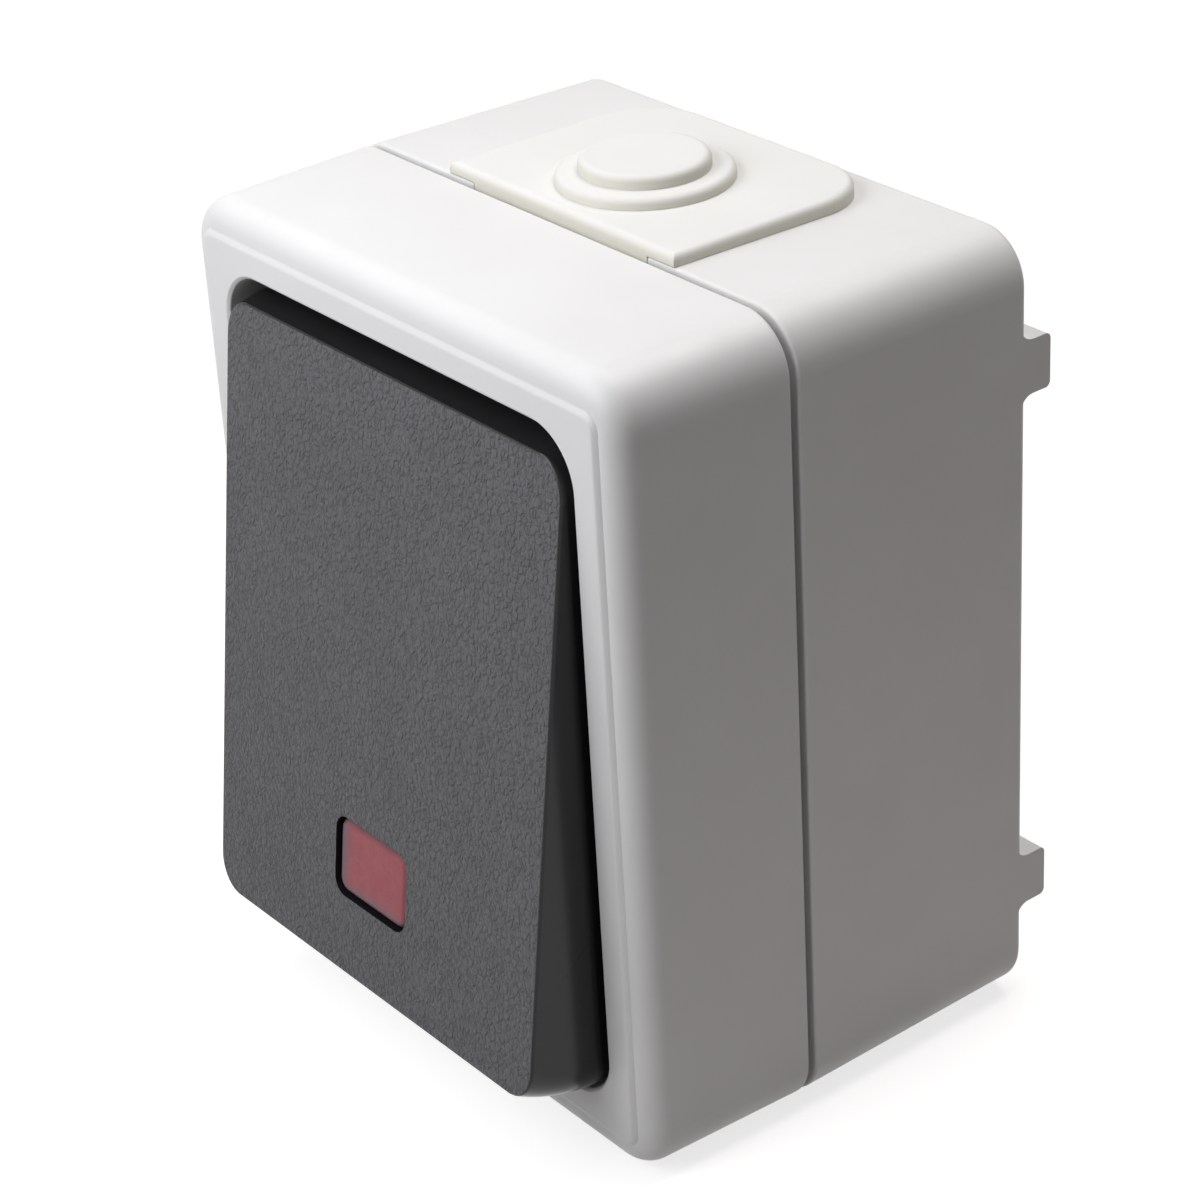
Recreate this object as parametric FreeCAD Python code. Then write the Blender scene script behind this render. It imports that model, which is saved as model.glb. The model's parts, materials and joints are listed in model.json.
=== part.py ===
import FreeCAD, Part
import math
import os

# Surface mounted light switch with a tilting rocker, all sizes in millimetres.
# X is to the right seen from the front, Y goes into the wall, Z is up.
# The origin is the middle of the back box's outer back face, half way between
# the two wall screw slots. The rocker is modelled with its upper end pressed in.

# Housing outside
housing_width = 66.0
housing_height = 82.0
box_depth = 28.1
cover_depth = 19.3
corner_radius = 5.5
box_draft = 0.39
cover_draft = 0.48
front_edge_radius = 2.6
back_edge_radius = 0.8
seam_gap = 0.8
seam_lip_radius = 0.3

# Housing walls
wall = 2.2
back_wall = 2.4
front_wall = 2.4

# Raised panel on the front
panel_margin_side = 2.25
panel_margin_end = 2.85
panel_height = 0.35
panel_corner_radius = 1.8
panel_slope = 0.5
panel_edge_radius = 0.5

# Rocker opening and the well behind it
opening_width = 53.4
opening_height = 68.9
opening_radius = 5.3
opening_edge_radius = 0.3
well_depth = 11.55
well_wall = 1.6
floor_thickness = 2.0
floor_window_width = 27.0
floor_window_height = 16.0
floor_window_radius = 2.0

# Cover tongue, gasket and its ledge in the box
tongue_length = 2.0
tongue_thickness = 1.3
tongue_clearance = 0.15
gasket_thickness = 1.2
ledge_width = 1.7
ledge_depth = 1.8

# Standoff feet behind the box
foot_length = 3.0
foot_height = 5.4
foot_width = 5.0
foot_spacing = 55.2
foot_root_radius = 1.6
foot_tip_radius = 0.6

# Wall screw slots
slot_spacing = 60.0
slot_radius = 2.25
slot_length = 7.0
slot_rim = 1.6
slot_rim_height = 1.0

# Rocker
rocker_width = 52.1
rocker_length = 63.0
rocker_end_bulge = 1.7
rocker_end_depth = 3.0
rocker_corner_radius = 3.4
rocker_plate = 2.2
rocker_wall = 1.8
rocker_skirt = 11.0
rocker_edge_radius = 0.3
rocker_rib = 1.2
rocker_rib_depth = 2.4
rocker_rib_spacing = 30.0
face_to_pivot = 4.8
pivot_below_panel = 0.3
rocker_tilt = 7.65

# Red window in the rocker
window_width = 11.6
window_height = 8.5
window_radius = 1.7
window_place = -18.95
window_gap = 0.2
window_recess = 0.25
window_edge_radius = 0.8
window_flange = 1.0
window_flange_thickness = 0.9

# Rocker carrier, its pivot pins and its plunger sleeve
pin_radius = 1.15
pin_clearance = 0.05
ear_tip_radius = 2.2
ear_thickness = 2.2
ear_gap = 0.2
ear_base_width = 8.0
carrier_half_length = 9.4
carrier_half_width = 3.0
carrier_arm_width = 7.0
carrier_arm_reach = 10.0
carrier_arm_thickness = 1.6
carrier_seat_gap = 0.1
carrier_back = 3.0
sleeve_radius = 3.4
sleeve_end = 15.0
clip_thickness = 1.4
clip_hook = 0.7
clip_gap = 0.1

# Plunger and spring
plunger_radius = 2.2
plunger_clearance = 0.08
plunger_start = 9.0
plunger_tip = 20.3
spring_seat = 2.8
spring_wire = 0.25
spring_clearance = 0.15
spring_turns = 5
spring_wire_sides = 5
spring_pocket = 4.0

# Contact blade
blade_gap = 0.2
blade_thickness = 0.8
blade_half_length = 11.2
blade_half_width = 3.0
blade_lug_reach = 5.8
blade_lug_radius = 0.7
blade_lug_clearance = 0.05
blade_tilt = 6.0
contact_place = 9.3
rivet_radius = 1.7
rivet_thickness = 1.0
rivet_shank = 0.8
rivet_head_radius = 1.3
rivet_head_thickness = 0.4
fixed_rivet_thickness = 1.3
contact_gap = 0.1
strip_thickness = 0.8
strip_width = 5.0
strip_clearance = 0.1
blade_side_gap = 0.4

# Mechanism block, cap and seal
block_width = 38.0
block_height = 40.0
block_depth = 18.0
block_floor = 1.6
block_corner_radius = 2.0
cap_thickness = 2.0
seal_thickness = 1.2
seal_margin = 3.5
chamber_width = 15.0
chamber_height = 26.0
common_bay_height = 12.0
sleeve_window_width = 11.0
sleeve_window_height = 12.6

# Terminals
terminal_place = 13.6
clamp_length = 6.0
clamp_width = 7.0
clamp_wall = 1.0
clamp_front_wall = 1.8
clamp_inside = 5.0
pocket_clearance = 0.4
wire_hole_radius = 1.8

# Indicator lamp
lamp_place = -16.0
lamp_radius = 2.0
lamp_length = 7.5
holder_radius = 3.3
holder_length = 4.2
holder_wall = 1.1
holder_clearance = 0.6
lamp_pin_radius = 0.5
lamp_pin_spacing = 3.2
lamp_pin_length = 6.0

# Screws
screw_radius = 1.5
screw_hole_clearance = 0.25
thread_clearance = 0.05
screw_head_radius = 2.9
screw_head_thickness = 1.9
screw_head_bevel = 0.6
screw_tip_radius = 0.5
screw_slot_width = 0.8
screw_slot_depth = 0.9
cover_screw_length = 12.0
mechanism_screw_length = 9.0
terminal_screw_length = 6.6
cover_screw_x = 19.5
cover_screw_z = 25.5
mechanism_screw_x = 17.0
mechanism_screw_z = 24.6
post_radius = 3.4
post_rib = 1.2
post_rib_depth = 16.0
mechanism_ear_thickness = 3.0

# Cable gland in the top of the box
gland_width = 33.4
gland_length = 25.2
gland_proud = 1.15
gland_rear_radius = 7.0
gland_edge_radius = 0.7
gland_notch_width = 26.0
gland_notch_length = 20.3
gland_notch_radius = 6.0
gland_flange = 1.8
gland_flange_thickness = 1.5
gland_clearance = 0.1
gland_centre = 10.4
gland_skin = 1.0
gland_steps = ((8.5, 1.1), (6.25, 1.3))

# How close a point lies to a plane that it belongs to
on_plane = 0.01

# Planes along Y, from the wall to the front
back_inside_y = -back_wall
seam_y = -box_depth
box_rim_y = seam_y + seam_gap / 2
cover_rim_y = seam_y - seam_gap / 2
band_y = seam_y - cover_depth
panel_y = band_y - panel_height
pivot_y = panel_y + pivot_below_panel
floor_front_y = panel_y + well_depth
floor_back_y = floor_front_y + floor_thickness
cap_front_y = floor_back_y + seal_thickness
block_front_y = cap_front_y + cap_thickness
block_back_y = block_front_y + block_depth
tongue_end_y = box_rim_y + tongue_length
gasket_end_y = tongue_end_y + gasket_thickness
blade_y = pivot_y + plunger_tip + blade_gap + blade_thickness / 2
rivet_swing = (contact_place + rivet_radius) * math.sin(math.radians(blade_tilt))
fixed_rivet_y = blade_y + blade_thickness / 2 + rivet_thickness + rivet_swing + contact_gap
strip_y = fixed_rivet_y + fixed_rivet_thickness
common_strip_y = block_back_y - block_floor - strip_thickness


def vec(x, y, z):
    return FreeCAD.Vector(x, y, z)


def near(value, plane):
    return abs(value - plane) < on_plane


def runs_along(component):
    """True for an edge whose direction has about this whole component."""
    return abs(component) > 1 - on_plane


def rounded_rect(width, height, radius, y, x=0.0, z=0.0):
    """Closed outline in a plane across Y."""
    w, h, r = width / 2, height / 2, radius
    corners = ((w - r, h - r, 0), (r - w, h - r, 90), (r - w, r - h, 180), (w - r, r - h, 270))
    edges = []
    ends = []
    for cx, cz, start in corners:
        points = []
        for angle in (start, start + 45, start + 90):
            a = math.radians(angle)
            points.append(vec(x + cx + r * math.cos(a), y, z + cz + r * math.sin(a)))
        ends.append((points[0], points[2]))
        edges.append(Part.Arc(*points).toShape())
    for i in range(4):
        edges.append(Part.makeLine(ends[i][1], ends[(i + 1) % 4][0]))
    return Part.Wire(Part.__sortEdges__(edges))


def rounded_block(width, height, radius, y0, y1, x=0.0, z=0.0):
    face = Part.Face(rounded_rect(width, height, radius, y0, x, z))
    return face.extrude(vec(0, y1 - y0, 0))


def drafted_block(width, height, radius, y0, y1, draft):
    """Rounded block whose sides lean in by draft from y0 to y1."""
    wires = [
        rounded_rect(width, height, radius, y0),
        rounded_rect(width - 2 * draft, height - 2 * draft, radius - draft, y1),
    ]
    return Part.makeLoft(wires, True, True)


def block(x0, x1, y0, y1, z0, z1):
    return Part.makeBox(x1 - x0, y1 - y0, z1 - z0, vec(x0, y0, z0))


def centred_block(half_x, y0, y1, half_z, x=0.0, z=0.0):
    return block(x - half_x, x + half_x, y0, y1, z - half_z, z + half_z)


def rod_y(x, z, radius, y0, y1):
    return Part.makeCylinder(radius, y1 - y0, vec(x, y0, z), vec(0, 1, 0))


def cone_y(x, z, radius0, radius1, y0, y1):
    return Part.makeCone(radius0, radius1, y1 - y0, vec(x, y0, z), vec(0, 1, 0))


def slot_y(x, z, radius, length, y0, y1):
    """Slot through Y that runs along Z."""
    half = length / 2 - radius
    body = block(x - radius, x + radius, y0, y1, z - half, z + half)
    return body.fuse([rod_y(x, z - half, radius, y0, y1), rod_y(x, z + half, radius, y0, y1)])


def profile_x(points_and_arcs, x0, x1):
    """Extrude a closed outline in the Y-Z plane from x0 to x1.

    Each entry is (y, z), or (y, z, y_mid, z_mid) for an arc that ends there.
    """
    edges = []
    last = points_and_arcs[-1]
    at = vec(x0, last[0], last[1])
    for entry in points_and_arcs:
        end = vec(x0, entry[0], entry[1])
        if len(entry) == 4:
            edges.append(Part.Arc(at, vec(x0, entry[2], entry[3]), end).toShape())
        else:
            edges.append(Part.makeLine(at, end))
        at = end
    return Part.Face(Part.Wire(edges)).extrude(vec(x1 - x0, 0, 0))


def fillet_where(shape, radius, test):
    """Round every edge whose mid point and direction pass the test."""
    chosen = []
    for edge in shape.Edges:
        middle = (edge.FirstParameter + edge.LastParameter) / 2
        if test(edge.valueAt(middle), edge.tangentAt(middle)):
            chosen.append(edge)
    return shape.makeFillet(radius, chosen)


def tilted(shape, y, degrees):
    """Turn a shape about a line along X that lies at y, z = 0."""
    turned = shape.copy()
    turned.rotate(vec(0, y, 0), vec(1, 0, 0), degrees)
    return turned


def rocker_posed(shape):
    return tilted(shape, pivot_y, -rocker_tilt)


def blade_posed(shape):
    return tilted(shape, blade_y, blade_tilt)


def side_half(y):
    """Half width of the box outside at a depth behind the seam."""
    return housing_width / 2 - box_draft * (y - seam_y) / box_depth


def box_outside(y1=0.0):
    draft = box_draft * (y1 - seam_y) / box_depth
    return drafted_block(housing_width, housing_height, corner_radius, seam_y, y1, draft)


def inner_outline(y0, y1, inset):
    """Block that follows the inside of the housing wall, set in by inset."""
    shrink = 2 * (wall + inset)
    radius = max(corner_radius - wall - inset, 0.5)
    return rounded_block(housing_width - shrink, housing_height - shrink, radius, y0, y1)


def foot(side, level):
    """Standoff foot, flush with the side of the box, with rounded roots and tips."""
    root, tip = foot_root_radius, foot_tip_radius
    root_mid = root * (1 - math.sqrt(0.5))
    tip_mid = tip * (1 - math.sqrt(0.5))
    upper = level + foot_height / 2
    lower = level - foot_height / 2
    inside = -back_wall / 2
    edge = -back_edge_radius
    outline = [
        (inside, lower - root),
        (edge, lower - root),
        (edge + root, lower, edge + root_mid, lower - root_mid),
        (foot_length - tip, lower),
        (foot_length, lower + tip, foot_length - tip_mid, lower + tip_mid),
        (foot_length, upper - tip),
        (foot_length - tip, upper, foot_length - tip_mid, upper - tip_mid),
        (edge + root, upper),
        (edge, upper + root, edge + root_mid, upper + root_mid),
        (inside, upper + root),
    ]
    outer = side * housing_width / 2
    inner = side * (side_half(0) - foot_width)
    solid = profile_x(outline, min(outer, inner), max(outer, inner))
    return solid.common(box_outside(foot_length))


def post_rib_to_wall(x, z, top_y):
    """Web from a post to the side wall, never as tall as the post."""
    side = 1 if x > 0 else -1
    start = abs(x) + post_radius / 2
    end = housing_width / 2 - wall / 2
    xs = sorted((side * start, side * end))
    rib_y = max(back_inside_y - post_rib_depth, top_y + post_rib)
    return block(xs[0], xs[1], rib_y, back_inside_y, z - post_rib / 2, z + post_rib / 2)


def gland_notch(grow):
    """Outline of the cut-out in the top wall, seen from above, as a tall prism."""
    half = gland_notch_width / 2 + grow
    end_y = box_rim_y + gland_notch_length + grow
    top = housing_height / 2 + gland_proud
    bottom = housing_height / 2 - wall - gland_flange_thickness - gland_proud
    prism = block(-half, half, seam_y, end_y, bottom, top)

    def rear_corner(point, along):
        return runs_along(along.z) and near(point.y, end_y)

    return fillet_where(prism, gland_notch_radius, rear_corner)


def posts():
    """Place and top plane of every screw post: (x, z, y)."""
    return (
        (-cover_screw_x, cover_screw_z, floor_back_y),
        (cover_screw_x, -cover_screw_z, floor_back_y),
        (mechanism_screw_x, mechanism_screw_z, block_back_y),
        (-mechanism_screw_x, -mechanism_screw_z, block_back_y),
    )


def back_box():
    def back_edge(point, along):
        return near(point.y, 0)

    def rim_edge(point, along):
        return near(point.y, box_rim_y)

    rim_cut = centred_block(housing_width, seam_y - 1, box_rim_y, housing_height)
    shell = fillet_where(box_outside().cut(rim_cut), seam_lip_radius, rim_edge)
    shell = fillet_where(shell, back_edge_radius, back_edge)
    for side in (-1, 1):
        for level in (-foot_spacing / 2, foot_spacing / 2):
            shell = shell.fuse(foot(side, level))
    shell = shell.cut(inner_outline(seam_y, back_inside_y, 0))

    ledge_end_y = gasket_end_y + ledge_depth
    outer_ledge = inner_outline(gasket_end_y, ledge_end_y, -wall / 2)
    inner_ledge = inner_outline(gasket_end_y, ledge_end_y, ledge_width)
    shell = shell.fuse(outer_ledge.cut(inner_ledge).common(box_outside()))

    added = []
    for x, z, top_y in posts():
        added.append(rod_y(x, z, post_radius, top_y, back_inside_y))
        added.append(post_rib_to_wall(x, z, top_y))
    for level in (-slot_spacing / 2, slot_spacing / 2):
        rim_y = back_inside_y - slot_rim_height
        rim_length = slot_length + 2 * slot_rim
        added.append(slot_y(0, level, slot_radius + slot_rim, rim_length, rim_y, back_inside_y))
    shell = shell.fuse(added)

    holes = [gland_notch(0)]
    pilot = screw_radius + thread_clearance
    for x, z, top_y in posts():
        depth = cover_screw_length if top_y == floor_back_y else mechanism_screw_length
        holes.append(rod_y(x, z, pilot, top_y, top_y + depth))
    for level in (-slot_spacing / 2, slot_spacing / 2):
        cut_y = back_inside_y - 2 * slot_rim_height
        holes.append(slot_y(0, level, slot_radius, slot_length, cut_y, foot_length))
    return shell.cut(holes).removeSplitter()


def cable_gland():
    """Soft plate with a stepped membrane, a web through the wall and an inner flange."""
    top = housing_height / 2 + gland_proud
    half = gland_width / 2
    end_y = box_rim_y + gland_length
    plate = block(-half, half, box_rim_y, end_y, housing_height / 2 - wall / 2, top)

    def rear_corner(point, along):
        return runs_along(along.z) and near(point.y, end_y)

    def upper_edge(point, along):
        return near(point.z, top)

    plate = fillet_where(plate, gland_rear_radius, rear_corner)
    plate = fillet_where(plate, gland_edge_radius, upper_edge).cut(box_outside())

    wall_inside = housing_height / 2 - wall
    web = gland_notch(-gland_clearance)
    tall = block(-half, half, box_rim_y, end_y, wall_inside - gland_clearance, housing_height / 2)
    web = web.common(tall)
    flange = gland_notch(gland_flange)
    flange_top = wall_inside - gland_clearance
    flange_start = gasket_end_y + ledge_depth + gland_clearance
    slab = block(-half, half, flange_start, end_y, flange_top - gland_flange_thickness, flange_top)
    solid = plate.fuse([web, flange.common(slab)])

    centre_y = box_rim_y + gland_centre
    level = top
    for radius, height in gland_steps:
        step = Part.makeCylinder(radius, height + wall, vec(0, centre_y, level - wall))
        upper = level + height

        def step_edge(point, along):
            return near(point.z, upper)

        solid = solid.fuse(fillet_where(step, gland_edge_radius, step_edge))
        level = upper
    floor = flange_top - 2 * gland_flange_thickness
    level = top
    for radius, height in gland_steps:
        level = level + height
        bore_radius = radius - gland_skin
        bore = Part.makeCylinder(bore_radius, level - gland_skin - floor, vec(0, centre_y, floor))
        solid = solid.cut(bore)
    return solid.removeSplitter()


def front_cover():
    outside = drafted_block(
        housing_width, housing_height, corner_radius, seam_y, band_y, cover_draft
    )

    def front_edge(point, along):
        return near(point.y, band_y)

    def rim_edge(point, along):
        return near(point.y, cover_rim_y)

    def panel_edge(point, along):
        return near(point.y, panel_y)

    rim_cut = centred_block(housing_width, cover_rim_y, seam_y + 1, housing_height)
    outside = fillet_where(outside.cut(rim_cut), seam_lip_radius, rim_edge)
    outside = fillet_where(outside, front_edge_radius, front_edge)
    panel_width = housing_width - 2 * (cover_draft + panel_margin_side)
    panel_tall = housing_height - 2 * (cover_draft + panel_margin_end)
    panel = drafted_block(
        panel_width, panel_tall, panel_corner_radius, band_y, panel_y, panel_slope
    )
    panel = fillet_where(panel, panel_edge_radius, panel_edge)
    shell = outside.fuse(panel).cut(inner_outline(band_y + front_wall, seam_y, 0))

    well_width = opening_width + 2 * well_wall
    well_height = opening_height + 2 * well_wall
    well_radius = opening_radius + well_wall
    well = rounded_block(well_width, well_height, well_radius, band_y + 1, floor_back_y)
    tongue_outer = inner_outline(cover_rim_y - wall, tongue_end_y, tongue_clearance)
    root = inner_outline(cover_rim_y - wall, cover_rim_y, -wall / 2)
    tongue_hole = inner_outline(
        cover_rim_y - wall, tongue_end_y, tongue_clearance + tongue_thickness
    )
    tongue = tongue_outer.fuse(root).cut(tongue_hole)
    shell = shell.fuse([well, tongue]).cut(well_hollow())
    return shell.cut(floor_holes()).removeSplitter()


def well_hollow():
    """Space in which the rocker swings, with a softened edge at the panel."""
    hollow = rounded_block(
        opening_width, opening_height, opening_radius, panel_y - 1, floor_front_y
    )
    flare = drafted_block(
        opening_width + 2 * opening_edge_radius,
        opening_height + 2 * opening_edge_radius,
        opening_radius + opening_edge_radius,
        panel_y,
        panel_y + opening_edge_radius,
        opening_edge_radius,
    )
    return hollow.fuse(flare)


def floor_holes():
    """Openings of the well's floor: carrier window, lamp hole and cover screws."""
    y0, y1 = floor_front_y - 1, floor_back_y + 1
    holes = [
        rounded_block(floor_window_width, floor_window_height, floor_window_radius, y0, y1),
        rod_y(0, lamp_place, holder_radius + holder_clearance, y0, y1),
    ]
    for side in (-1, 1):
        x, z = -side * cover_screw_x, side * cover_screw_z
        holes.append(rod_y(x, z, screw_radius + screw_hole_clearance, y0, y1))
    return holes


def cover_gasket():
    """Flat ring on the box ledge, pressed by the cover tongue."""
    outer = inner_outline(tongue_end_y, gasket_end_y, tongue_clearance)
    return outer.cut(inner_outline(tongue_end_y, gasket_end_y, ledge_width))


def mechanism_seal():
    """Frame between the well's floor and the mechanism cap."""
    top = floor_window_height / 2 + seal_margin
    bottom = lamp_place - holder_radius - holder_clearance
    width = floor_window_width + 2 * seal_margin
    middle = (top + bottom) / 2
    outer = rounded_block(
        width, top - bottom, floor_window_radius, floor_back_y, cap_front_y, z=middle
    )
    window = rounded_block(
        floor_window_width, floor_window_height, floor_window_radius, floor_back_y, cap_front_y
    )
    lamp = rod_y(0, lamp_place, holder_radius + pin_clearance, floor_back_y, cap_front_y)
    return outer.cut([window, lamp])


def screw(x, z, seat_y, length):
    """Pan head screw with a plain shank and a slot, head in front of seat_y."""
    front = seat_y - screw_head_thickness
    shoulder = front + screw_head_bevel
    tip_start = seat_y + length - screw_radius
    crown = cone_y(x, z, screw_head_radius - screw_head_bevel, screw_head_radius, front, shoulder)
    head = rod_y(x, z, screw_head_radius, shoulder, seat_y)
    shank = rod_y(x, z, screw_radius, seat_y, tip_start)
    tip = cone_y(x, z, screw_radius, screw_tip_radius, tip_start, seat_y + length)
    slot = centred_block(
        screw_head_radius + 1, front, front + screw_slot_depth, screw_slot_width / 2, x, z
    )
    return crown.fuse([head, shank, tip]).cut(slot).removeSplitter()


def terminals():
    """Name, side of the block along X and level along Z of each terminal."""
    return (
        ("upper", -1, contact_place),
        ("lower", -1, -contact_place),
        ("common", 1, 0.0),
    )


def terminal_strip_y(name):
    return common_strip_y if name == "common" else strip_y


def clamp_back_y(name):
    return terminal_strip_y(name) + strip_thickness + clamp_wall + strip_clearance


def clamp_front_y(name):
    return terminal_strip_y(name) + strip_thickness - clamp_inside - clamp_front_wall


def terminal_cuts(name, side, level):
    """Pocket of one terminal clamp, the slot of its strip and the hole for its wire."""
    x = side * terminal_place
    pocket_end = clamp_back_y(name) + pocket_clearance
    pocket_x = clamp_length / 2 + pocket_clearance
    pocket_z = clamp_width / 2 + pocket_clearance
    slot_end = terminal_strip_y(name) + strip_thickness
    slot_z = strip_width / 2 + strip_clearance
    x0, x1 = sorted((0, x))
    wire_start = vec(x, terminal_strip_y(name) - wire_hole_radius, level)
    return [
        centred_block(pocket_x, block_front_y, pocket_end, pocket_z, x, level),
        block(x0, x1, block_front_y, slot_end, level - slot_z, level + slot_z),
        Part.makeCylinder(wire_hole_radius, block_width, wire_start, vec(side, 0, 0)),
    ]


def mechanism_ear(side):
    """Foot at one corner of the block, and the hole of its fixing screw."""
    x, z = side * mechanism_screw_x, side * mechanism_screw_z
    ear_y = block_back_y - mechanism_ear_thickness
    x0, x1 = sorted((x - side * post_radius, side * block_width / 2))
    z0, z1 = sorted((side * block_height / 4, z))
    ear = rod_y(x, z, post_radius, ear_y, block_back_y)
    ear = ear.fuse(block(x0, x1, ear_y, block_back_y, z0, z1))
    hole = rod_y(x, z, screw_radius + screw_hole_clearance, ear_y - 1, block_back_y + 1)
    return ear, hole


def mechanism_base():
    """Block with the contact chamber, the terminal pockets and two fixing ears."""
    body = rounded_block(
        block_width, block_height, block_corner_radius, block_front_y, block_back_y
    )
    half_w = chamber_width / 2
    cuts = [
        centred_block(half_w, block_front_y, strip_y + strip_thickness, chamber_height / 2),
        centred_block(half_w, block_front_y, block_back_y - block_floor, common_bay_height / 2),
    ]
    for terminal in terminals():
        cuts.extend(terminal_cuts(*terminal))
    pin_end = cap_front_y + lamp_pin_length + pocket_clearance
    pin_hole = lamp_pin_radius + strip_clearance
    for side in (-1, 1):
        ear, hole = mechanism_ear(side)
        body = body.fuse(ear)
        cuts.append(hole)
        x = side * lamp_pin_spacing / 2
        cuts.append(rod_y(x, lamp_place, pin_hole, block_front_y, pin_end))
    return body.cut(cuts).removeSplitter()


def bearing_ear(side):
    """Upright cheek with the bore for one pivot pin."""
    x0 = carrier_half_length + ear_gap
    xs = sorted((side * x0, side * (x0 + ear_thickness)))
    half = ear_base_width / 2
    r = ear_tip_radius
    outline = [
        (cap_front_y + 0.5, -half),
        (pivot_y, -r),
        (pivot_y, r, pivot_y - r, 0),
        (cap_front_y + 0.5, half),
    ]
    cheek = profile_x(outline, xs[0], xs[1])
    bore = Part.makeCylinder(
        pin_radius + pin_clearance, ear_thickness + 2, vec(xs[0] - 1, pivot_y, 0), vec(1, 0, 0)
    )
    return cheek.cut(bore)


def mechanism_cap():
    """Lid of the block with the two bearing cheeks."""
    plate = rounded_block(
        block_width, block_height, block_corner_radius, cap_front_y, block_front_y
    )
    plate = plate.fuse([bearing_ear(-1), bearing_ear(1)])
    y0, y1 = cap_front_y - 1, block_front_y + 1
    holes = [centred_block(sleeve_window_width / 2, y0, y1, sleeve_window_height / 2)]
    for _, side, level in terminals():
        x = side * terminal_place
        holes.append(rod_y(x, level, screw_head_radius + screw_hole_clearance, y0, y1))
    for side in (-1, 1):
        x = side * lamp_pin_spacing / 2
        holes.append(rod_y(x, lamp_place, lamp_pin_radius + strip_clearance, y0, y1))
    return plate.cut(holes).removeSplitter()


def rocker_profile(inset, face, skirt):
    """Side view of the rocker: flat face, bulged ends that are widest behind the pivot."""
    rise = face_to_pivot + rocker_end_depth
    arc = (rise**2 + rocker_end_bulge**2) / (2 * rocker_end_bulge)
    centre_z = rocker_length / 2 + rocker_end_bulge - arc
    radius = arc - inset
    widest_y = pivot_y + rocker_end_depth
    widest_z = centre_z + radius
    front = pivot_y - face
    back = pivot_y + skirt
    z_front = centre_z + math.sqrt(radius**2 - (face + rocker_end_depth) ** 2)
    z_back = centre_z + math.sqrt(radius**2 - (skirt - rocker_end_depth) ** 2)
    return [
        (front, z_front),
        (back, z_back, widest_y, widest_z),
        (back, -z_back),
        (front, -z_front, widest_y, -widest_z),
    ]


def rocker_body(inset, face, skirt, width, radius):
    solid = profile_x(rocker_profile(inset, face, skirt), -width / 2, width / 2)

    def corner(point, along):
        beside = near(abs(point.x), width / 2)
        return beside and abs(point.z) > rocker_length / 4 and abs(along.y) > 0.5

    return fillet_where(solid, radius, corner)


def window_hole(grow, y0, y1):
    return rounded_block(
        window_width + 2 * grow,
        window_height + 2 * grow,
        window_radius + grow,
        y0,
        y1,
        z=window_place,
    )


def rocker_clip(side):
    """Leg under the rocker that hooks over the end of a carrier arm."""
    seat = pivot_y - face_to_pivot + rocker_plate
    arm_back = seat + carrier_seat_gap + carrier_arm_thickness
    half = carrier_arm_width / 2
    near = side * (carrier_arm_reach + clip_gap)
    far = near + side * clip_thickness
    z0, z1 = sorted((near, far))
    end = arm_back + 2 * clip_hook + clip_gap
    leg = block(-half, half, seat - rocker_plate / 2, end, z0, z1)
    h0, h1 = sorted((near - side * clip_hook, far))
    hook = block(-half, half, arm_back + clip_gap, end, h0, h1)
    return leg.fuse(hook)


def rocker():
    outer = rocker_body(
        0, face_to_pivot, rocker_skirt - face_to_pivot, rocker_width, rocker_corner_radius
    )
    face_y = pivot_y - face_to_pivot

    def face_edge(point, along):
        return near(point.y, face_y)

    outer = fillet_where(outer, rocker_edge_radius, face_edge)
    hollow = rocker_body(
        rocker_wall,
        face_to_pivot - rocker_plate,
        rocker_skirt - face_to_pivot + 1,
        rocker_width - 2 * rocker_wall,
        rocker_corner_radius - rocker_wall,
    )
    solid = outer.cut(hollow)
    under_y = face_y + rocker_plate
    reach = rocker_length / 2 - rocker_wall / 2
    added = [rocker_clip(-1), rocker_clip(1)]
    for side in (-1, 1):
        x = side * rocker_rib_spacing / 2
        added.append(
            centred_block(
                rocker_rib / 2, under_y - rocker_plate / 2, under_y + rocker_rib_depth, reach, x
            )
        )
    solid = solid.fuse(added)
    return rocker_posed(solid.cut(window_hole(0, face_y - 1, under_y + 1)).removeSplitter())


def window_lens():
    """Red lens, a little below the face, with a flange behind the rocker plate."""
    face_y = pivot_y - face_to_pivot
    front_y = face_y + window_recess
    back_y = face_y + rocker_plate
    stem = window_hole(-window_gap, front_y, back_y)

    def front_rim(point, along):
        return near(point.y, front_y)

    stem = fillet_where(stem, window_edge_radius, front_rim)
    flange = window_hole(window_flange, back_y, back_y + window_flange_thickness)
    return rocker_posed(stem.fuse(flange).removeSplitter())


def rocker_carrier():
    """See-saw that carries the rocker: arms, pivot pins and plunger sleeve."""
    seat = pivot_y - face_to_pivot + rocker_plate + carrier_seat_gap
    bar = centred_block(carrier_half_length, seat, pivot_y + carrier_back, carrier_half_width)
    arm = centred_block(
        carrier_arm_width / 2, seat, seat + carrier_arm_thickness, carrier_arm_reach
    )
    pin_end = carrier_half_length + ear_gap + ear_thickness
    pins = Part.makeCylinder(pin_radius, 2 * pin_end, vec(-pin_end, pivot_y, 0), vec(1, 0, 0))
    sleeve = rod_y(0, 0, sleeve_radius, seat, pivot_y + sleeve_end)
    bore = rod_y(
        0,
        0,
        plunger_radius + plunger_clearance,
        pivot_y + spring_seat,
        pivot_y + sleeve_end + 1,
    )
    solid = bar.fuse([arm, pins, sleeve]).cut(bore)
    return rocker_posed(solid.removeSplitter())


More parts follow.
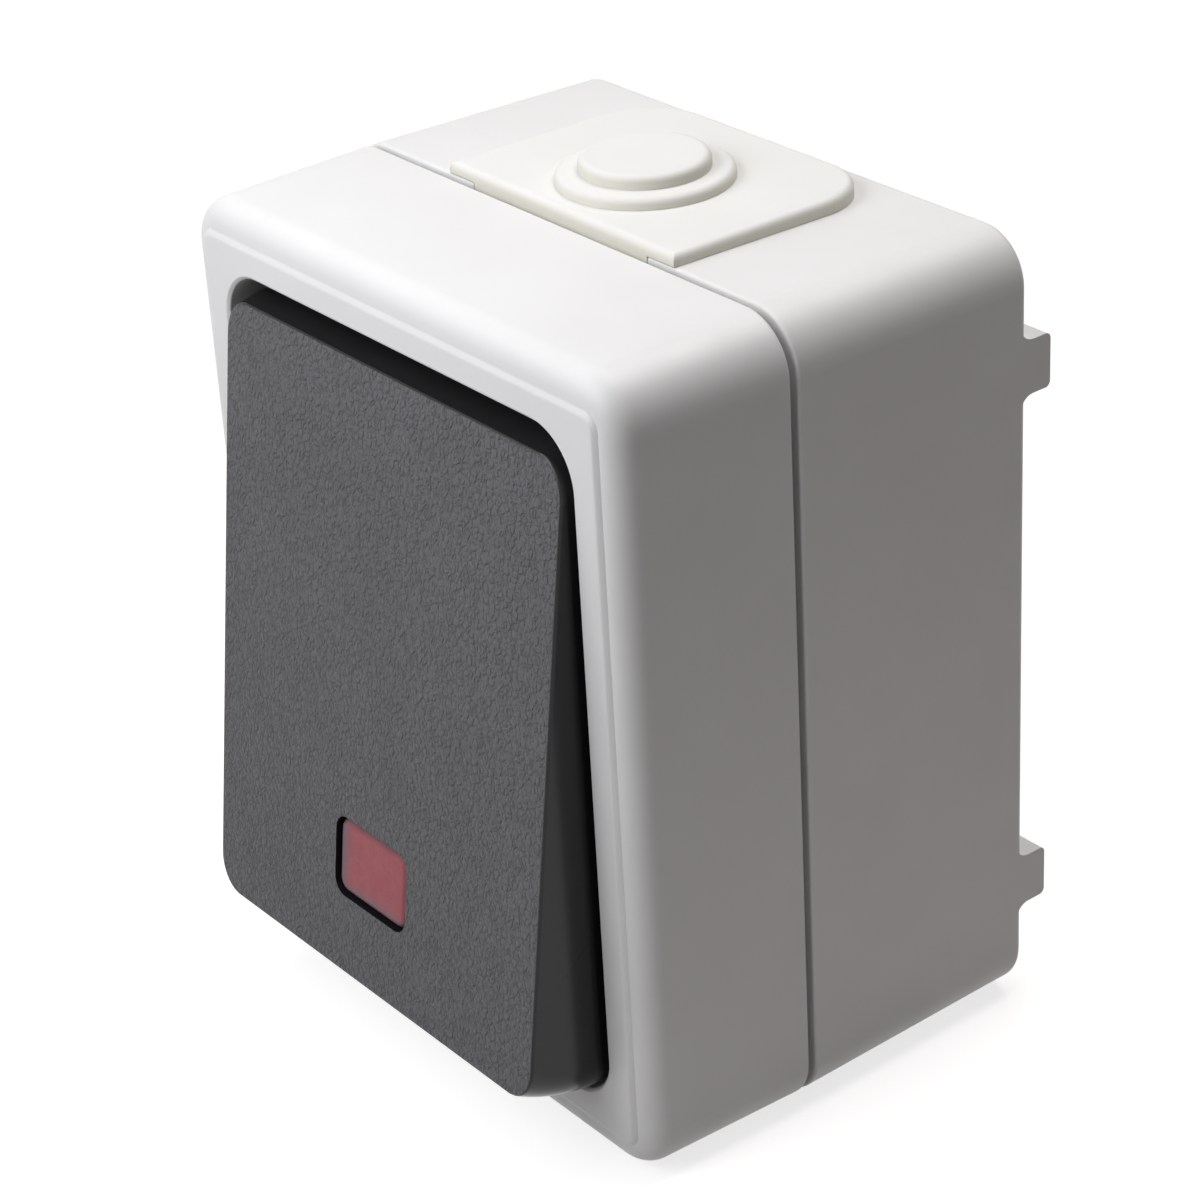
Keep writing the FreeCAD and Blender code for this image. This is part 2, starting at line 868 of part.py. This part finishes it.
def plunger():
    """Round nosed pin that slides in the sleeve, hollow for the spring."""
    start = pivot_y + plunger_start
    tip = pivot_y + plunger_tip
    body = rod_y(0, 0, plunger_radius, start, tip - plunger_radius)
    nose = Part.makeSphere(plunger_radius, vec(0, tip - plunger_radius, 0))
    pocket_radius = plunger_radius - spring_wire - spring_clearance
    pocket = rod_y(0, 0, pocket_radius, start, start + spring_pocket)
    return rocker_posed(body.fuse(nose).cut(pocket).removeSplitter())


def plunger_spring():
    """Coil between the sleeve's seat and the pocket of the plunger."""
    start = pivot_y + spring_seat + spring_wire + plunger_clearance
    end = pivot_y + plunger_start + spring_pocket - spring_wire - plunger_clearance
    radius = plunger_radius - 2 * spring_wire - 2 * spring_clearance
    helix = Part.makeHelix((end - start) / spring_turns, end - start, radius)
    helix.rotate(vec(0, 0, 0), vec(1, 0, 0), -90)
    helix.translate(vec(0, start, 0))
    path = Part.Wire(helix.Edges)
    first = path.Edges[0]
    at = first.valueAt(first.FirstParameter)
    along = first.tangentAt(first.FirstParameter)
    across = vec(spring_wire, 0, 0)
    outward = along.cross(across)
    corners = []
    for i in range(spring_wire_sides + 1):
        a = 2 * math.pi * i / spring_wire_sides
        corners.append(at + across * math.cos(a) + outward * math.sin(a))
    section = Part.makePolygon(corners)
    return rocker_posed(path.makePipeShell([section], True, True))


def contact_blade():
    """See-saw contact with side lugs that rest in the fulcrum strip."""
    y0 = blade_y - blade_thickness / 2
    y1 = blade_y + blade_thickness / 2
    strip = rounded_block(2 * blade_half_width, 2 * blade_half_length, 1, y0, y1)
    root = blade_half_width - blade_thickness / 2
    lugs = []
    holes = []
    for side in (-1, 1):
        start = vec(side * root, blade_y, 0)
        outward = vec(side, 0, 0)
        lugs.append(Part.makeCylinder(blade_lug_radius, blade_lug_reach - root, start, outward))
        holes.append(rod_y(0, side * contact_place, rivet_shank, y0, y1))
    return blade_posed(strip.fuse(lugs).cut(holes).removeSplitter())


def moving_rivet(side):
    z = side * contact_place
    y0 = blade_y - blade_thickness / 2
    y1 = blade_y + blade_thickness / 2
    pad = rod_y(0, z, rivet_radius, y1, y1 + rivet_thickness)
    shank = rod_y(0, z, rivet_shank, y0, y1)
    head = rod_y(0, z, rivet_head_radius, y0 - rivet_head_thickness, y0)
    return blade_posed(pad.fuse([shank, head]).removeSplitter())


def fixed_rivet(side):
    z = side * contact_place
    pad = rod_y(0, z, rivet_radius, fixed_rivet_y, strip_y)
    shank = rod_y(0, z, rivet_shank, strip_y, strip_y + strip_thickness)
    return pad.fuse(shank).removeSplitter()


def contact_strip(name, side, level, inner_x):
    """Flat strip from the contact chamber into a terminal clamp."""
    xs = sorted((inner_x, side * (terminal_place + clamp_length / 2)))
    y = terminal_strip_y(name)
    half = strip_width / 2
    return block(xs[0], xs[1], y, y + strip_thickness, level - half, level + half)


def fixed_contact(side):
    name = "upper" if side > 0 else "lower"
    strip = contact_strip(name, -1, side * contact_place, rivet_radius + 1)
    hole = rod_y(0, side * contact_place, rivet_shank, strip_y, strip_y + strip_thickness)
    return strip.cut(hole)


def common_contact():
    """Strip with two uprights whose round seats carry the blade's lugs."""
    solid = contact_strip("common", 1, 0.0, -blade_lug_reach)
    inner = blade_half_width + blade_side_gap
    seat_radius = blade_lug_radius + blade_lug_clearance
    half = strip_width / 2
    for side in (-1, 1):
        x0, x1 = sorted((side * inner, side * blade_lug_reach))
        upright = block(x0, x1, blade_y, common_strip_y, -half, half)
        seat = Part.makeCylinder(seat_radius, x1 - x0, vec(x0, blade_y, 0), vec(1, 0, 0))
        solid = solid.fuse(upright.cut(seat))
    return solid.removeSplitter()


def terminal_clamp(name, side, level):
    """Box clamp: the strip and the wire lie inside, the screw presses from the front."""
    x = side * terminal_place
    y0, y1 = clamp_front_y(name), clamp_back_y(name)
    outer = centred_block(clamp_length / 2, y0, y1, clamp_width / 2, x, level)
    tunnel = centred_block(
        clamp_length / 2 + 1,
        y0 + clamp_front_wall,
        y1 - clamp_wall,
        clamp_width / 2 - clamp_wall,
        x,
        level,
    )
    hole = rod_y(x, level, screw_radius + thread_clearance, y0, y0 + clamp_front_wall)
    return outer.cut([tunnel, hole])


def terminal_screw(name, side, level):
    gap = clamp_wall
    return screw(side * terminal_place, level, clamp_front_y(name) - gap, terminal_screw_length)


def lamp_holder():
    """Round socket on the cap that holds the lamp."""
    front = cap_front_y - holder_length
    body = rod_y(0, lamp_place, holder_radius, front, cap_front_y)
    bore = rod_y(
        0, lamp_place, holder_radius - holder_wall, front, cap_front_y - holder_wall
    )
    holes = [bore]
    for side in (-1, 1):
        x = side * lamp_pin_spacing / 2
        holes.append(rod_y(x, lamp_place, lamp_pin_radius, cap_front_y - holder_wall, cap_front_y))
    return body.cut(holes)


def indicator_lamp():
    """Small glow lamp: glass tube with a round end."""
    base = cap_front_y - holder_wall
    nose_y = base - lamp_length + lamp_radius
    tube = rod_y(0, lamp_place, lamp_radius, nose_y, base - lamp_pin_radius)
    nose = Part.makeSphere(lamp_radius, vec(0, nose_y, lamp_place))
    return tube.fuse(nose).removeSplitter()


def lamp_pin(side):
    start = cap_front_y - holder_wall
    end = cap_front_y + lamp_pin_length
    return rod_y(side * lamp_pin_spacing / 2, lamp_place, lamp_pin_radius, start, end)


def all_nodes():
    nodes = {
        "back_box": back_box(),
        "front_cover": front_cover(),
        "cable_gland": cable_gland(),
        "cover_gasket": cover_gasket(),
        "mechanism_seal": mechanism_seal(),
        "mechanism_base": mechanism_base(),
        "mechanism_cap": mechanism_cap(),
        "common_contact": common_contact(),
        "lamp_holder": lamp_holder(),
        "indicator_lamp": indicator_lamp(),
        "lamp_pin_left": lamp_pin(-1),
        "lamp_pin_right": lamp_pin(1),
        "rocker": rocker(),
        "window_lens": window_lens(),
        "rocker_carrier": rocker_carrier(),
        "plunger": plunger(),
        "plunger_spring": plunger_spring(),
        "contact_blade": contact_blade(),
    }
    ear_front_y = block_back_y - mechanism_ear_thickness
    for name, side in (("upper", 1), ("lower", -1)):
        nodes["cover_screw_" + name] = screw(
            -side * cover_screw_x, side * cover_screw_z, floor_front_y, cover_screw_length
        )
        nodes["mechanism_screw_" + name] = screw(
            side * mechanism_screw_x, side * mechanism_screw_z, ear_front_y, mechanism_screw_length
        )
        nodes["moving_rivet_" + name] = moving_rivet(side)
        nodes["fixed_rivet_" + name] = fixed_rivet(side)
        nodes["fixed_contact_" + name] = fixed_contact(side)
    for name, side, level in terminals():
        nodes["terminal_clamp_" + name] = terminal_clamp(name, side, level)
        nodes["terminal_screw_" + name] = terminal_screw(name, side, level)
    return nodes


def main():
    os.makedirs("parts", exist_ok=True)
    for name, shape in all_nodes().items():
        solid = shape.Solids[0] if len(shape.Solids) == 1 else shape
        solid.exportStep(os.path.join("parts", name + ".step"))


main()
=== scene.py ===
import bpy
import json
import math
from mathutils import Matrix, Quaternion, Vector


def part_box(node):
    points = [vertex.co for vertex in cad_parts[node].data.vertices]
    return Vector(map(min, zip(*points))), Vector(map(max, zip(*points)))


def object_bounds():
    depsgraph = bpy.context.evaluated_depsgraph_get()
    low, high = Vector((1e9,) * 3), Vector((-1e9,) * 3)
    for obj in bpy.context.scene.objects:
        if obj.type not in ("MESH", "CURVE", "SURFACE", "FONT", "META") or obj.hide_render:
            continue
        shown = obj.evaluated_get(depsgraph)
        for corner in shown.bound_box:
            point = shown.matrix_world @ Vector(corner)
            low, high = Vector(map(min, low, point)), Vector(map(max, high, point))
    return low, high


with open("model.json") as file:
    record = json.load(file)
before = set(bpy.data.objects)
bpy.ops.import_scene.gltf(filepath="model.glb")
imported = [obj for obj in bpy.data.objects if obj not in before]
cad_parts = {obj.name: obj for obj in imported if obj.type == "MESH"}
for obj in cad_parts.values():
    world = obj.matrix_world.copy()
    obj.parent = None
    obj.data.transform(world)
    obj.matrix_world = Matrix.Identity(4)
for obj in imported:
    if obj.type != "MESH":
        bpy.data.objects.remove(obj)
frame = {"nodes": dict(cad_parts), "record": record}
cad_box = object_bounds()
nodes = frame["nodes"]

MM = 0.001
WHITE = (1.0, 1.0, 1.0)

# Camera, solved from the straight edges of the housing in the photograph
CAMERA_PLACE = (0.23079, -0.19815, 0.15421)
CAMERA_AZIMUTH = 53.196
CAMERA_ELEVATION = 28.050
CAMERA_ROLL = -3.363
CAMERA_LENS = 100.614
SENSOR = 36.0

# Soft boxes: where each shines from in degrees, distance and size in metres, watts, colour
LAMPS = {
    "back_top_box": {
        "azimuth": 175, "elevation": 70, "distance": 0.30, "size": 0.20,
        "watts": 0.57, "colour": (1.0, 0.975, 0.96),
    },
    "high_front_box": {
        "azimuth": -18, "elevation": 48, "distance": 0.16, "size": 0.12,
        "watts": 0.108, "colour": (0.97, 0.975, 1.0),
    },
    "front_box": {
        "azimuth": 0, "elevation": 35, "distance": 0.30, "size": 0.20,
        "watts": 0.36, "colour": (0.95, 0.96, 1.0),
    },
}

# Dim light of the surroundings, a little warm as on the sides in the photograph
WORLD_LIGHT = 0.010
WORLD_TINT = (1.0, 0.62, 0.55)

# Floor, with its glow as the eye sees it: near the object, and out where the lamps fade
FLOOR_SIZE = 6.0
FLOOR_TONE = (0.595, 0.575, 0.565)
FLOOR_GLOW = (0.74, 1.0)
FLOOR_GLOW_REACH = (0.12, 0.45)

# Sockets of the Mix node for numbers and for colours: its two inputs and its result
MIX_SOCKETS = {"FLOAT": ((2, 3), 0), "RGBA": ((6, 7), 2)}
# Most values of a noise texture lie between these
NOISE_RANGE = (0.3, 0.7)

# Moulded surfaces: size of the drifts of tone and gloss, and rounding of sharp edges
TONE_PATCH = 12 * MM
GLOSS_PATCH = 5 * MM
EDGE_RADIUS = 0.25 * MM
EDGE_SAMPLES = 6

# Grained face and polished sides of the rocker
ROCKER_FACE_TONES = ((0.094, 0.096, 0.101), (0.107, 0.108, 0.115))
# Colour of the creases of the grain: painted shade, darker than the face
ROCKER_CREASE_PAINTED_SHADE = (0.036, 0.036, 0.038)
ROCKER_SIDE_TONE = (0.012, 0.012, 0.013)
ROCKER_FACE_ROUGHNESS = (0.44, 0.58)
ROCKER_SIDE_ROUGHNESS = 0.16
ROCKER_CLOUD = 9 * MM
# Cosines to the face's normal between which the sides turn into the face
FACE_TURN = (0.90, 0.98)

# Grain: warped cells, and fine pits all over
GRAIN_DEPTH = 0.17 * MM
CELL_SIZE = 0.68 * MM
CELL_WARP = 0.6 * MM
CELL_WARP_SIZE = 0.9 * MM
PIT_SIZE = 0.25 * MM
PIT_SHARE = 0.45
# Creases between the cells: their slope in shares of a cell, the painted shade that darkens
# them, and the noise that breaks them down to their faintest
CREASE_SLOPE = (0.02, 0.26)
CREASE_PAINTED_SHADE = 0.40
CREASE_BREAK_SIZE = 0.7 * MM
CREASE_BREAK = (0.36, 0.58)
CREASE_FAINTEST = 0.25

# Red window: clear inside an inset from the lens's box, shifted right and up, and darker over
# the border's width, partly its thin rim and partly painted shade of the recess walls, which
# has its full tone in its outermost share
WINDOW_TONES = ((0.300, 0.048, 0.062), (0.345, 0.068, 0.082))
# Colour of the border: partly the lens's darker thin rim, partly painted shade of the recess
# walls
WINDOW_BORDER_PAINTED_SHADE = (0.160, 0.092, 0.115)
WINDOW_CLOUD = 1.6 * MM
WINDOW_FROST_SIZE = 0.35 * MM
WINDOW_FROST_DEPTH = 0.008 * MM
WINDOW_ROUGHNESS = (0.34, 0.48)
CLEAR_INSET = 0.9 * MM
CLEAR_SHIFT = (0.7 * MM, 0.8 * MM)
BORDER_WIDTH = 1.8 * MM
BORDER_FULL_SHARE = 0.2

# Soft gland: tones of its flat tops, the painted shade, darker and warmer, on its upright
# edges, and the Z of the normal between which the edges turn into the tops
GLAND_TONES = ((0.765, 0.765, 0.745), (0.790, 0.790, 0.772))
GLAND_EDGE_PAINTED_SHADE = (0.700, 0.685, 0.610)
GLAND_TURN = (0.3, 0.95)

# Smears on the glass of the indicator lamp
LAMP_SMEAR = 1.5 * MM
LAMP_ROUGHNESS = (0.02, 0.10)


def new_material(name):
    """A material, its node tree and its shader."""
    material = bpy.data.materials.new(name)
    material.use_nodes = True
    tree = material.node_tree
    return material, tree, tree.nodes["Principled BSDF"]


def feed(tree, value, socket):
    """Give a socket the output of another node, a colour, a vector or a number."""
    if isinstance(value, bpy.types.NodeSocket):
        tree.links.new(value, socket)
    elif socket.type == "RGBA":
        socket.default_value = (*value, 1.0)
    else:
        socket.default_value = value


def set_inputs(tree, node, values):
    """Feed the named sockets of a node."""
    for name, value in values.items():
        feed(tree, value, node.inputs[name])


def object_place(tree):
    """The point on the piece, in metres, which stays with it when it moves."""
    return tree.nodes.new("ShaderNodeTexCoord").outputs["Object"]


def noise_outputs(tree, place, size, detail=2.0):
    """Fac and Color of a noise whose lumps are about size metres wide."""
    node = tree.nodes.new("ShaderNodeTexNoise")
    set_inputs(tree, node, {"Vector": place, "Scale": 1.0 / size, "Detail": detail})
    return node.outputs


def noise(tree, place, size, detail=2.0):
    """Noise as one number, mostly within NOISE_RANGE."""
    return noise_outputs(tree, place, size, detail)["Fac"]


def map_range(tree, value, low, high, to_low, to_high):
    """The value between low and high, mapped to between to_low and to_high."""
    node = tree.nodes.new("ShaderNodeMapRange")
    sockets = ("Value", "From Min", "From Max", "To Min", "To Max")
    set_inputs(tree, node, dict(zip(sockets, (value, low, high, to_low, to_high))))
    return node.outputs["Result"]


def spread(tree, value, low, high):
    """A noise spread from low to high."""
    return map_range(tree, value, *NOISE_RANGE, low, high)


def mixed(tree, kind, factor, first, second):
    """Two numbers (FLOAT) or two colours (RGBA) mixed by factor."""
    node = tree.nodes.new("ShaderNodeMix")
    node.data_type = kind
    tree.links.new(factor, node.inputs["Factor"])
    inputs, result = MIX_SOCKETS[kind]
    for value, index in zip((first, second), inputs):
        feed(tree, value, node.inputs[index])
    return node.outputs[result]


def math_node(tree, operation, first, second=0.0):
    node = tree.nodes.new("ShaderNodeMath")
    node.operation = operation
    for value, socket in zip((first, second), node.inputs):
        feed(tree, value, socket)
    return node.outputs[0]


def vector_node(tree, operation, first, second=(0.0, 0.0, 0.0)):
    """Outputs of vector math: Vector, or Value where the result is a number."""
    node = tree.nodes.new("ShaderNodeVectorMath")
    node.operation = operation
    for value, socket in zip((first, second), node.inputs):
        feed(tree, value, socket)
    return node.outputs


def warped(tree, place, size, reach):
    """The place shifted by up to reach metres, by noise with lumps of size metres."""
    wander = noise_outputs(tree, place, size)["Color"]
    shift = vector_node(tree, "MULTIPLY", wander, (reach, reach, reach))["Vector"]
    return vector_node(tree, "ADD", place, shift)["Vector"]


def bump(tree, height, depth, normal=None):
    """Normal from a height between 0 and 1 that stands for depth metres."""
    node = tree.nodes.new("ShaderNodeBump")
    set_inputs(tree, node, {"Distance": depth, "Height": height})
    if normal is not None:
        tree.links.new(normal, node.inputs["Normal"])
    return node.outputs["Normal"]


def soft_edges(tree, radius):
    """Normal that rounds the edges of the piece to radius metres."""
    node = tree.nodes.new("ShaderNodeBevel")
    node.samples = EDGE_SAMPLES
    node.inputs["Radius"].default_value = radius
    return node.outputs["Normal"]


def border(tree, place, centre, half, width):
    """1 at the border of a plate in X and Z, falling to 0 at width metres inside."""
    axes = tree.nodes.new("ShaderNodeSeparateXYZ")
    tree.links.new(place, axes.inputs["Vector"])
    inside = []
    for axis, middle, reach in zip("XZ", centre, half):
        away = math_node(tree, "SUBTRACT", axes.outputs[axis], middle)
        away = math_node(tree, "ABSOLUTE", away)
        inside.append(math_node(tree, "SUBTRACT", reach, away))
    nearest = math_node(tree, "MINIMUM", *inside)
    return map_range(tree, nearest, BORDER_FULL_SHARE * width, width, 1.0, 0.0)


def moulded(name, tones, roughness, texture, specular=0.5, metallic=0.0, edge=None):
    """Moulded or stamped surface, drifting between two tones and two roughnesses.

    texture is the size and depth of its fine tool marks, edge the rounding of its edges.
    """
    material, tree, shader = new_material(name)
    place = object_place(tree)
    drift = spread(tree, noise(tree, place, TONE_PATCH), 0.0, 1.0)
    patches = noise(tree, place, GLOSS_PATCH, detail=3.0)
    size, depth = texture
    marks = noise(tree, place, size, detail=3.0)
    rounded = soft_edges(tree, edge) if edge else None
    set_inputs(tree, shader, {
        "Base Color": mixed(tree, "RGBA", drift, *tones),
        "Roughness": spread(tree, patches, *roughness),
        "Normal": bump(tree, marks, depth, rounded),
        "Specular IOR Level": specular,
        "Metallic": metallic,
    })
    return material


def face_normal():
    """Normal of the rocker's face, which leans by half the rocker's travel at rest."""
    joints = frame["record"]["behaviour"]["joints"]
    travel = next(joint["range_deg"][1] for joint in joints if joint["name"] == "rocker_tilt")
    lean = math.radians(travel) / 2
    return (0.0, -math.cos(lean), math.sin(lean))


def face_mask(tree, normal):
    """1 on the rocker's flat face, 0 on its sides."""
    facing = vector_node(tree, "DOT_PRODUCT", normal, face_normal())["Value"]
    return map_range(tree, facing, *FACE_TURN, 0.0, 1.0)


def creases(tree, place):
    """1 in the creases between the cells of the grain, less where they break, else 0."""
    cells = tree.nodes.new("ShaderNodeTexVoronoi")
    cells.feature = "DISTANCE_TO_EDGE"
    shifted = warped(tree, place, CELL_WARP_SIZE, CELL_WARP)
    set_inputs(tree, cells, {"Vector": shifted, "Scale": 1.0 / CELL_SIZE})
    crease = map_range(tree, cells.outputs["Distance"], *CREASE_SLOPE, 1.0, 0.0)
    breaks = noise(tree, place, CREASE_BREAK_SIZE)
    whole = map_range(tree, breaks, *CREASE_BREAK, CREASE_FAINTEST, 1.0)
    return math_node(tree, "MULTIPLY", crease, whole)


def rocker_plastic():
    """Dark plastic: leather grain with painted shade in its creases on the flat face,
    polished on every other side.
    """
    material, tree, shader = new_material("rocker_plastic")
    coordinates = tree.nodes.new("ShaderNodeTexCoord").outputs
    place = coordinates["Object"]
    face = face_mask(tree, coordinates["Normal"])
    crease = creases(tree, place)
    fine = noise(tree, place, PIT_SIZE, detail=3.0)
    pits = math_node(tree, "MULTIPLY", fine, PIT_SHARE)
    grain = math_node(tree, "SUBTRACT", pits, crease)
    height = math_node(tree, "MULTIPLY", grain, face)

    cloud = spread(tree, noise(tree, place, ROCKER_CLOUD, detail=3.0), 0.0, 1.0)
    plateau = mixed(tree, "RGBA", cloud, *ROCKER_FACE_TONES)
    # Painted shade: the creases of the grain darkened towards the crease colour
    crease_painted_shade = math_node(tree, "MULTIPLY", crease, CREASE_PAINTED_SHADE)
    grained = mixed(tree, "RGBA", crease_painted_shade, plateau, ROCKER_CREASE_PAINTED_SHADE)
    haze = spread(tree, fine, *ROCKER_FACE_ROUGHNESS)
    set_inputs(tree, shader, {
        "Base Color": mixed(tree, "RGBA", face, ROCKER_SIDE_TONE, grained),
        "Roughness": mixed(tree, "FLOAT", face, ROCKER_SIDE_ROUGHNESS, haze),
        "Normal": bump(tree, height, GRAIN_DEPTH),
        "Specular IOR Level": 0.30,
    })
    return material


def clear_window():
    """Centre and half sizes in X and Z of the clear part of the lens at rest."""
    low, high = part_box("window_lens")
    centre = (low.xz + high.xz) / 2 + Vector(CLEAR_SHIFT)
    half = (high.xz - low.xz) / 2 - Vector((CLEAR_INSET, CLEAR_INSET))
    return centre, half


def window_plastic():
    """Frosted red lens, a little cloudy, with a darker border, partly its thin rim and partly
    painted shade, widest at its left and bottom.
    """
    material, tree, shader = new_material("window_plastic")
    place = object_place(tree)
    cloud = spread(tree, noise(tree, place, WINDOW_CLOUD, detail=4.0), 0.0, 1.0)
    clear = mixed(tree, "RGBA", cloud, *WINDOW_TONES)
    # Painted shade of the recess walls on the lens's border, widest at its left and bottom
    shaded_border = border(tree, place, *clear_window(), BORDER_WIDTH)
    frost = noise(tree, place, WINDOW_FROST_SIZE)
    set_inputs(tree, shader, {
        "Base Color": mixed(tree, "RGBA", shaded_border, clear, WINDOW_BORDER_PAINTED_SHADE),
        "Roughness": spread(tree, frost, *WINDOW_ROUGHNESS),
        "Normal": bump(tree, frost, WINDOW_FROST_DEPTH),
        "Specular IOR Level": 0.35,
        "Subsurface Weight": 0.3,
        "Subsurface Scale": 0.6 * MM,
        "Subsurface Radius": (1.0, 0.25, 0.25),
    })
    return material


def gland_elastomer():
    """Soft pale elastomer, with painted shade, darker and warmer, on its upright edges."""
    material = moulded(
        "gland_elastomer",
        tones=GLAND_TONES,
        roughness=(0.55, 0.65),
        texture=(0.40 * MM, 0.004 * MM),
        specular=0.4,
        edge=EDGE_RADIUS,
    )
    tree = material.node_tree
    colour = tree.nodes["Principled BSDF"].inputs["Base Color"]
    flat = colour.links[0].from_socket
    axes = tree.nodes.new("ShaderNodeSeparateXYZ")
    normal = tree.nodes.new("ShaderNodeTexCoord").outputs["Normal"]
    tree.links.new(normal, axes.inputs["Vector"])
    # Painted shade: the upright edges darker and warmer than the flat tops
    upright_painted_shade = map_range(tree, axes.outputs["Z"], *GLAND_TURN, 1.0, 0.0)
    tree.links.new(mixed(tree, "RGBA", upright_painted_shade, flat, GLAND_EDGE_PAINTED_SHADE), colour)
    return material


def lamp_glass():
    """Clear tube of the indicator lamp, faintly smeared."""
    material, tree, shader = new_material("lamp_glass")
    smear = noise(tree, object_place(tree), LAMP_SMEAR)
    set_inputs(tree, shader, {
        "Base Color": (0.98, 0.94, 0.90),
        "Roughness": spread(tree, smear, *LAMP_ROUGHNESS),
        "Transmission Weight": 1.0,
        "IOR": 1.47,
    })
    return material


def finishes():
    """The material of each slot of the record."""
    return {
        "housing": moulded(
            "housing_plastic",
            tones=((0.735, 0.735, 0.728), (0.760, 0.760, 0.755)),
            roughness=(0.40, 0.50),
            texture=(0.30 * MM, 0.0025 * MM),
            edge=EDGE_RADIUS,
        ),
        "rocker_face": rocker_plastic(),
        "window": window_plastic(),
        "gland": gland_elastomer(),
        "gasket": moulded(
            "gasket_rubber",
            tones=((0.020, 0.020, 0.021), (0.030, 0.030, 0.030)),
            roughness=(0.70, 0.82),
            texture=(0.25 * MM, 0.010 * MM),
        ),
        "insulator": moulded(
            "insulator_plastic",
            tones=((0.50, 0.48, 0.42), (0.55, 0.53, 0.47)),
            roughness=(0.50, 0.60),
            texture=(0.30 * MM, 0.006 * MM),
        ),
        "carrier": moulded(
            "carrier_plastic",
            tones=((0.60, 0.60, 0.58), (0.66, 0.66, 0.63)),
            roughness=(0.38, 0.46),
            texture=(0.30 * MM, 0.004 * MM),
        ),
        "copper_alloy": moulded(
            "copper_alloy",
            tones=((0.62, 0.42, 0.18), (0.70, 0.50, 0.24)),
            roughness=(0.26, 0.40),
            texture=(0.15 * MM, 0.003 * MM),
            metallic=1.0,
        ),
        "silver": moulded(
            "silver_contact",
            tones=((0.76, 0.76, 0.75), (0.84, 0.84, 0.83)),
            roughness=(0.24, 0.36),
            texture=(0.12 * MM, 0.003 * MM),
            metallic=1.0,
        ),
        "steel": moulded(
            "plated_steel",
            tones=((0.52, 0.53, 0.54), (0.62, 0.63, 0.64)),
            roughness=(0.22, 0.36),
            texture=(0.12 * MM, 0.003 * MM),
            metallic=1.0,
        ),
        "lamp_glass": lamp_glass(),
    }


def dress_nodes():
    """Give every CAD node the finish of its slot."""
    made = finishes()
    for part in frame["record"]["subparts"]:
        mesh = nodes[part["node"]].data
        mesh.materials.clear()
        mesh.materials.append(made[part["material_slot"]])


def seen_directly(tree):
    """1 for camera, glossy and transmission rays, else 0."""
    rays = tree.nodes.new("ShaderNodeLightPath").outputs
    total = math_node(tree, "ADD", rays["Is Camera Ray"], rays["Is Glossy Ray"])
    total = math_node(tree, "ADD", total, rays["Is Transmission Ray"])
    return math_node(tree, "MINIMUM", total, 1.0)


def make_floor():
    """Pale floor that looks white and keeps the shadow of the object."""
    bpy.ops.mesh.primitive_plane_add(size=FLOOR_SIZE, location=(0, 0, cad_box[0].z))
    floor = bpy.context.object
    floor.name = "floor"
    material, tree, shader = new_material("floor_white")
    away = vector_node(tree, "LENGTH", object_place(tree))["Value"]
    glow = map_range(tree, away, *FLOOR_GLOW_REACH, *FLOOR_GLOW)
    set_inputs(tree, shader, {
        "Base Color": FLOOR_TONE,
        "Roughness": 0.9,
        "Specular IOR Level": 0.1,
        "Emission Color": WHITE,
        "Emission Strength": math_node(tree, "MULTIPLY", seen_directly(tree), glow),
    })
    floor.data.materials.append(material)


def make_world():
    """White to the eye, a dim even light on the object."""
    world = bpy.data.worlds.new("studio")
    bpy.context.scene.world = world
    world.use_nodes = True
    tree = world.node_tree
    seen = seen_directly(tree)
    set_inputs(tree, tree.nodes["Background"], {
        "Color": mixed(tree, "RGBA", seen, WORLD_TINT, WHITE),
        "Strength": mixed(tree, "FLOAT", seen, WORLD_LIGHT, 1.0),
    })


def direction(azimuth, elevation):
    """Unit vector from the object towards a viewer or a lamp."""
    a, e = math.radians(azimuth), math.radians(elevation)
    return Vector((math.sin(a) * math.cos(e), -math.cos(a) * math.cos(e), math.sin(e)))


def place_in_scene(name, data, place, back, roll=0.0):
    """Put a lamp or camera at a place, looking away from the direction back."""
    thing = bpy.data.objects.new(name, data)
    bpy.context.scene.collection.objects.link(thing)
    thing.location = place
    thing.rotation_mode = "QUATERNION"
    level = (-back).to_track_quat("-Z", "Y")
    thing.rotation_quaternion = level @ Quaternion((0, 0, 1), math.radians(roll))
    return thing


def make_lamps():
    """Aim every soft box at the middle of the object."""
    centre = (cad_box[0] + cad_box[1]) / 2
    for name, lamp in LAMPS.items():
        data = bpy.data.lights.new(name, "AREA")
        data.size = lamp["size"]
        data.energy = lamp["watts"]
        data.color = lamp["colour"]
        towards = direction(lamp["azimuth"], lamp["elevation"])
        place_in_scene(name, data, centre + towards * lamp["distance"], towards)


def make_camera():
    """Camera at the view of the photograph."""
    data = bpy.data.cameras.new("camera")
    data.lens = CAMERA_LENS
    data.sensor_width = SENSOR
    data.clip_start = 0.01
    data.clip_end = 20.0
    back = direction(CAMERA_AZIMUTH, CAMERA_ELEVATION)
    camera = place_in_scene("camera", data, CAMERA_PLACE, back, CAMERA_ROLL)
    bpy.context.scene.camera = camera


dress_nodes()
make_floor()
make_world()
make_lamps()
make_camera()
bpy.context.scene.view_settings.view_transform = "Standard"
